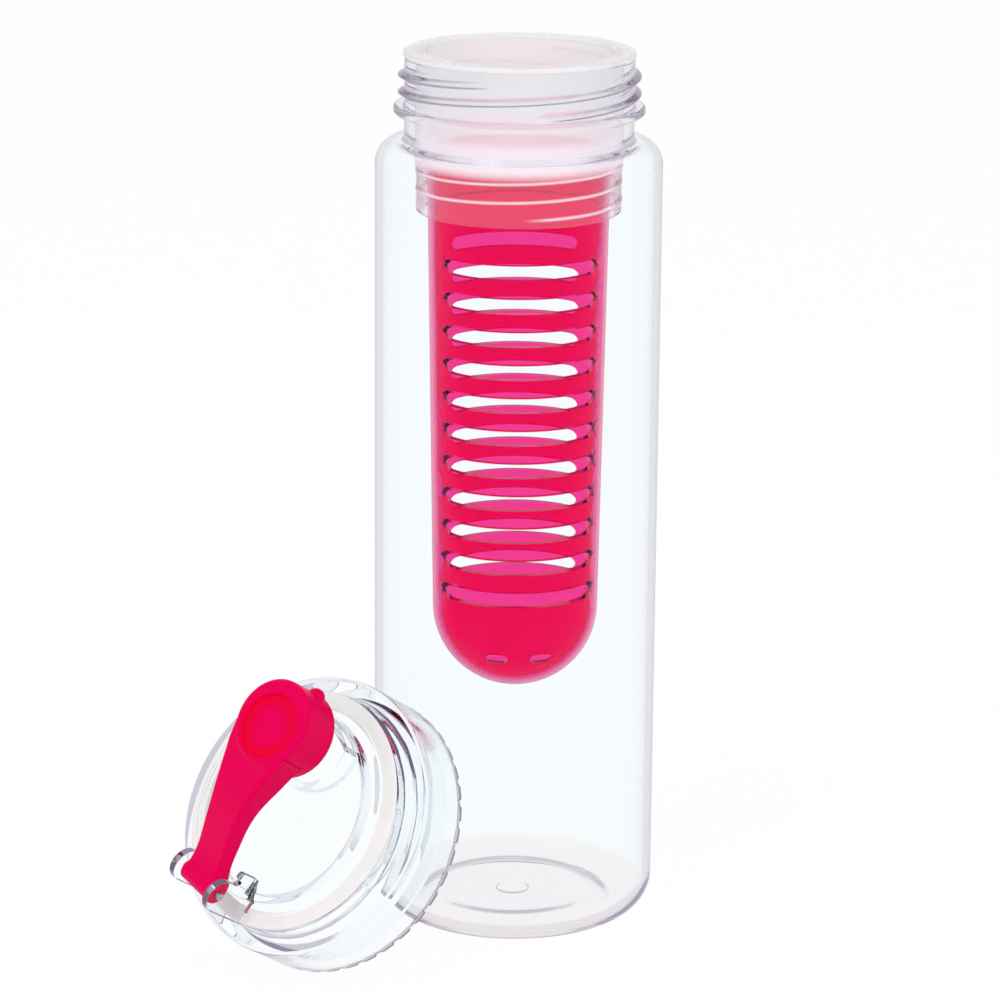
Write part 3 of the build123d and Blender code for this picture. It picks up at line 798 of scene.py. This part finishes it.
def boss_outline():
    """Plan of the space under the boss: the part of its circle inside the disc's wall.

    The two circles cross at the angle start above the boss's centre line, seen from its centre,
    and at the angle end, seen from the lid's centre.
    """
    across = (HOLLOW_REACH**2 - BOSS_HOLLOW_R**2 + BOSS_Y**2) / (2 * BOSS_Y)
    start, end = math.asin((across - BOSS_Y) / BOSS_HOLLOW_R), math.asin(across / HOLLOW_REACH)
    a = np.linspace(math.pi - start, 2 * math.pi + start, BOSS_ARC_POINTS)
    b = np.linspace(end, math.pi - end, WALL_ARC_POINTS)[1:-1]
    boss = np.column_stack([np.cos(a), np.sin(a)]) * BOSS_HOLLOW_R + (0, BOSS_Y)
    return np.concatenate([boss, np.column_stack([np.cos(b), np.sin(b)]) * HOLLOW_REACH])


def cut_away(piece, tool):
    """Takes the tool's solid out of the piece, and makes the cut's edges sharp."""
    cut = piece.modifiers.new("cut", "BOOLEAN")
    cut.operation, cut.solver, cut.object = "DIFFERENCE", "EXACT", tool
    done = piece.evaluated_get(bpy.context.evaluated_depsgraph_get())
    mesh = bpy.data.meshes.new_from_object(done)
    piece.modifiers.clear()
    piece.data = mesh
    mesh.set_sharp_from_angle(angle=math.radians(SHARP_CUT))
    bpy.data.objects.remove(tool)


def plate(name, corners, near, far, material):
    """Flat plate of the lid: an outline in (Y, Z) carried along X from near to far."""
    piece = carried(name, outline(corners), 0, near, far, material)
    edges = piece.modifiers.new("soft edges", "BEVEL")
    edges.width, edges.segments, edges.limit_method = EAR_EDGE * MM, 2, "ANGLE"
    piece.modifiers.new("flats", "WEIGHTED_NORMAL").keep_sharp = True
    return piece


def dress_node(node, material):
    """Gives a CAD node its material, and smooth shading that stops at its sharp edges."""
    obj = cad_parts[node]
    obj.data.materials.clear()
    obj.data.materials.append(material)
    obj.data.shade_smooth()
    weld = obj.modifiers.new("weld", "WELD")
    weld.merge_threshold = WELD_REACH * MM
    split = obj.modifiers.new("edges", "EDGE_SPLIT")
    split.split_angle = math.radians(SHARP_NODE)
    obj.modifiers.new("flats", "WEIGHTED_NORMAL").keep_sharp = True


class INFUSER_OT_bottle(Operator):
    """Builds the clear bottle with the thread on its neck"""

    bl_idname = "infuser.bottle"
    bl_label = "Bottle"

    def execute(self, context):
        sizes, colours = context.scene.infuser_sizes, context.scene.infuser_colours
        width, height = sizes.thread_width / MM, sizes.thread_height / MM

        def neck_thread(r, z, angle):
            # On the neck's outer wall, between the bead and the rounded mouth
            on = (r > NECK_R - 0.5) & (z > BEAD_TOP + 0.1) & (z < NECK_TOP - 0.4)
            ridges = thread(z, angle, NECK_THREAD_STARTS, NECK_THREAD_FOOT, width, height)
            return np.where(on, ridges, 0)

        plastic = clear_plastic("copolyester, blown", colours, bottle_look, ior=1.2, ripple=0.02)
        piece = turned("bottle_clear", BOTTLE, BOTTLE_SEGMENTS, plastic, neck_thread)
        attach(piece, "bottle")
        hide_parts("bottle_body", "bottle_neck")
        return {"FINISHED"}


class INFUSER_OT_collar(Operator):
    """Builds the frosted collar with its thread lines"""

    bl_idname = "infuser.collar"
    bl_label = "Collar"

    def execute(self, context):
        def lines(r, z, angle):
            # On the outer wall, round the socket
            on = (r > COLLAR_R - 0.3) & (z < SOCKET_TOP)
            line = ridge(
                z, angle, COLLAR_LINE_START, COLLAR_LINE_FOOT, COLLAR_LINE_LEAD,
                COLLAR_LINE_TURN, COLLAR_LINE_WIDTH, COLLAR_RIDGE, COLLAR_LINE_TAPER,
            )
            return np.where(on, line, 0)

        plastic = frosted_plastic(context.scene.infuser_colours)
        piece = turned("collar_frosted", COLLAR, COLLAR_SEGMENTS, plastic, lines)
        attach(piece, "collar")
        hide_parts("infuser_collar")
        return {"FINISHED"}


class INFUSER_OT_basket(Operator):
    """Finishes the slotted basket"""

    bl_idname = "infuser.basket"
    bl_label = "Basket"

    def execute(self, context):
        dress_node("infuser_basket", tinted_plastic(context.scene.infuser_colours))
        return {"FINISHED"}


class INFUSER_OT_lid(Operator):
    """Builds the clear lid with its ears and gasket, and finishes its spout, pin and plug"""

    bl_idname = "infuser.lid"
    bl_label = "Lid"

    def execute(self, context):
        colours = context.scene.infuser_colours
        plastic = clear_plastic("copolyester, moulded", colours, lid_look, ior=1.2, ripple=0.01)
        self.shell(plastic)
        for name, side in (("lid_ear_left", -1), ("lid_ear_right", 1)):
            ear = plate(name, EAR, side * EAR_INNER, side * EAR_OUTER, plastic)
            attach(ear, "lid")
        fainter = "copolyester, moulded thin"
        dress_node("lid_spout", clear_plastic(fainter, colours, lid_look, ior=1.1, ripple=0.01))
        rubber = silicone_rubber(colours)
        gasket = turned("gasket_silicone", GASKET, GASKET_SEGMENTS, rubber, place=in_lid)
        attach(gasket, "lid")
        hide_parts("lid_gasket")
        dress_node("hinge_pin", steel_wire())
        dress_node("spout_plug", rubber)
        return {"FINISHED"}

    def shell(self, plastic):
        """Round part of the lid: skirts, thread, shoulder, step, disc and notched rim."""

        def inner_thread(r, z, angle):
            # On the inner skirt's bore, above its flare and below the ceiling
            on = (np.abs(r - LID_BORE) < 0.4) & (z > LID_BORE_FOOT + 0.1) & (z < CEILING - 0.2)
            shape = (LID_THREAD_STARTS, LID_THREAD_FOOT, LID_THREAD_WIDTH, LID_THREAD_HEIGHT)
            return np.where(on, -thread(z, angle, *shape), 0)

        def notches(r, z, angle):
            turn = np.degrees(angle) % (360 / NOTCHES)
            return np.where((z < RIM_ROW) & (turn < NOTCH_SWEEP), NOTCH_DEPTH, 0)

        piece = turned("lid_clear", LID, LID_SEGMENTS, plastic, inner_thread, notches, in_lid)
        hollow = carried("boss hollow", boss_outline(), 2, HOLLOW_FOOT, HOLLOW_TOP, plastic)
        cut_away(piece, hollow)
        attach(piece, "lid")
        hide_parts("lid_shell")


class INFUSER_OT_cap(Operator):
    """Finishes the flip cap"""

    bl_idname = "infuser.cap"
    bl_label = "Flip cap"

    def execute(self, context):
        dress_node("flip_cap", red_plastic(context.scene.infuser_colours))
        return {"FINISHED"}


def backdrop(tree, colour):
    """The colour itself, or a dim lilac grey on a ray's way back from a mirroring surface."""
    mirrored = add_node(tree, "ShaderNodeLightPath").outputs["Glossy Depth"]
    sockets = {0: mirrored, 6: colour, 7: MIRRORED}
    return add_node(tree, "ShaderNodeMix", sockets, data_type="RGBA").outputs[2]


def seen_rays(tree):
    """1 for rays of the camera, of reflections and through clear pieces; 0 for other rays."""
    path = add_node(tree, "ShaderNodeLightPath")
    seen = path.outputs["Is Camera Ray"]
    for other in ("Is Glossy Ray", "Is Transmission Ray"):
        sockets = {0: seen, 1: path.outputs[other]}
        seen = add_node(tree, "ShaderNodeMath", sockets, operation="MAXIMUM")
    return seen


class INFUSER_OT_stage(Operator):
    """Sets up the floor, the white surroundings, the lamps and the camera"""

    bl_idname = "infuser.stage"
    bl_label = "Stage"

    def execute(self, context):
        scene = context.scene
        scene.view_settings.view_transform = "Standard"
        self.surroundings(scene)
        self.floor(scene)
        for name, place, power in LAMPS:
            self.lamp(scene, name, place, power)
        self.camera(scene)
        return {"FINISHED"}

    def surroundings(self, scene):
        """Plain soft light from all round: white, but dim where a surface mirrors it."""
        world = bpy.data.worlds.new("white studio")
        scene.world = world
        world.use_nodes = True
        tree = world.node_tree
        tree.nodes.clear()
        diffuse = add_node(tree, "ShaderNodeLightPath").outputs["Is Diffuse Ray"]
        sockets = {0: diffuse, 1: SOFT_LIGHT - 1, 2: 1.0}
        strength = add_node(tree, "ShaderNodeMath", sockets, operation="MULTIPLY_ADD")
        sockets = {"Color": backdrop(tree, WHITE), "Strength": strength}
        light = add_node(tree, "ShaderNodeBackground", sockets)
        add_node(tree, "ShaderNodeOutputWorld", {"Surface": light})

    def floor(self, scene):
        """Pale floor: mostly white to the camera, and it keeps the object's shadow."""
        mesh = bpy.data.meshes.new("floor")
        grid = np.array([[-1, -1, 0], [1, -1, 0], [1, 1, 0], [-1, 1, 0]]) * FLOOR_REACH
        mesh.from_pydata(grid, [], [[0, 1, 2, 3]])
        material, tree = new_material("white paper")
        paper = add_node(tree, "ShaderNodeBsdfDiffuse", {"Color": backdrop(tree, PAPER)})
        glow = add_node(
            tree, "ShaderNodeEmission", {"Color": backdrop(tree, WHITE), "Strength": 1.0}
        )
        sockets = {0: seen_rays(tree), 1: FLOOR_GLOW}
        share = add_node(tree, "ShaderNodeMath", sockets, operation="MULTIPLY")
        mix = add_node(tree, "ShaderNodeMixShader", {0: share, 1: paper, 2: glow})
        mesh.materials.append(finish_material(material, mix))
        obj = bpy.data.objects.new("floor", mesh)
        scene.collection.objects.link(obj)

    def lamp(self, scene, name, place, power):
        """One square area lamp that faces the target."""
        light = bpy.data.lights.new(name, "AREA")
        light.size, light.energy = LAMP_SIZE, power
        obj = bpy.data.objects.new(name, light)
        obj.location = place
        way = Vector(LAMP_TARGET) - Vector(place)
        obj.rotation_euler = way.to_track_quat("-Z", "Y").to_euler()
        scene.collection.objects.link(obj)

    def camera(self, scene):
        """Camera at the photograph's place, in front of the bottle and looking a little down.

        The focal length in mm is the one in pixels, times the sensor's width over the picture's.
        """
        down, roll = math.radians(CAMERA_TILT), math.radians(CAMERA_ROLL)
        ahead = Vector((0, math.cos(down), -math.sin(down)))
        side = Vector((1, 0, 0))
        up = side.cross(ahead)
        right = side * math.cos(roll) + up * math.sin(roll)
        over = up * math.cos(roll) - side * math.sin(roll)
        data = bpy.data.cameras.new("camera")
        data.sensor_width = SENSOR
        data.lens = FOCAL_LENGTH * SENSOR / PICTURE_WIDTH
        data.shift_x = PICTURE_SHIFT / PICTURE_WIDTH
        obj = bpy.data.objects.new("camera", data)
        turn = Matrix((right, over, -ahead)).transposed().to_4x4()
        obj.matrix_world = Matrix.Translation(CAMERA_PLACE) @ turn
        scene.collection.objects.link(obj)
        scene.camera = obj


class INFUSER_PT_pieces(Panel):
    """Lists the bottle's sizes, colours and pieces"""

    bl_idname = "INFUSER_PT_pieces"
    bl_label = "Fruit infuser bottle"
    bl_space_type = "VIEW_3D"
    bl_region_type = "UI"
    bl_category = "Infuser"

    def draw(self, context):
        layout = self.layout
        for group in (context.scene.infuser_sizes, context.scene.infuser_colours):
            box = layout.box()
            for name in group.__annotations__:
                box.prop(group, name)
        for piece in PIECES:
            layout.operator(piece.bl_idname)


PIECES = (
    INFUSER_OT_bottle,
    INFUSER_OT_collar,
    INFUSER_OT_basket,
    INFUSER_OT_lid,
    INFUSER_OT_cap,
    INFUSER_OT_stage,
)
CLASSES = (InfuserSizes, InfuserColours, *PIECES, INFUSER_PT_pieces)


def register():
    for cls in CLASSES:
        bpy.utils.register_class(cls)
    bpy.types.Scene.infuser_sizes = PointerProperty(type=InfuserSizes)
    bpy.types.Scene.infuser_colours = PointerProperty(type=InfuserColours)


def unregister():
    del bpy.types.Scene.infuser_colours
    del bpy.types.Scene.infuser_sizes
    for cls in reversed(CLASSES):
        bpy.utils.unregister_class(cls)


def main():
    """Builds every piece and the stage."""
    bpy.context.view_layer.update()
    register()
    bpy.ops.infuser.bottle()
    bpy.ops.infuser.collar()
    bpy.ops.infuser.basket()
    bpy.ops.infuser.lid()
    bpy.ops.infuser.cap()
    bpy.ops.infuser.stage()


if __name__ == "__main__":
    main()
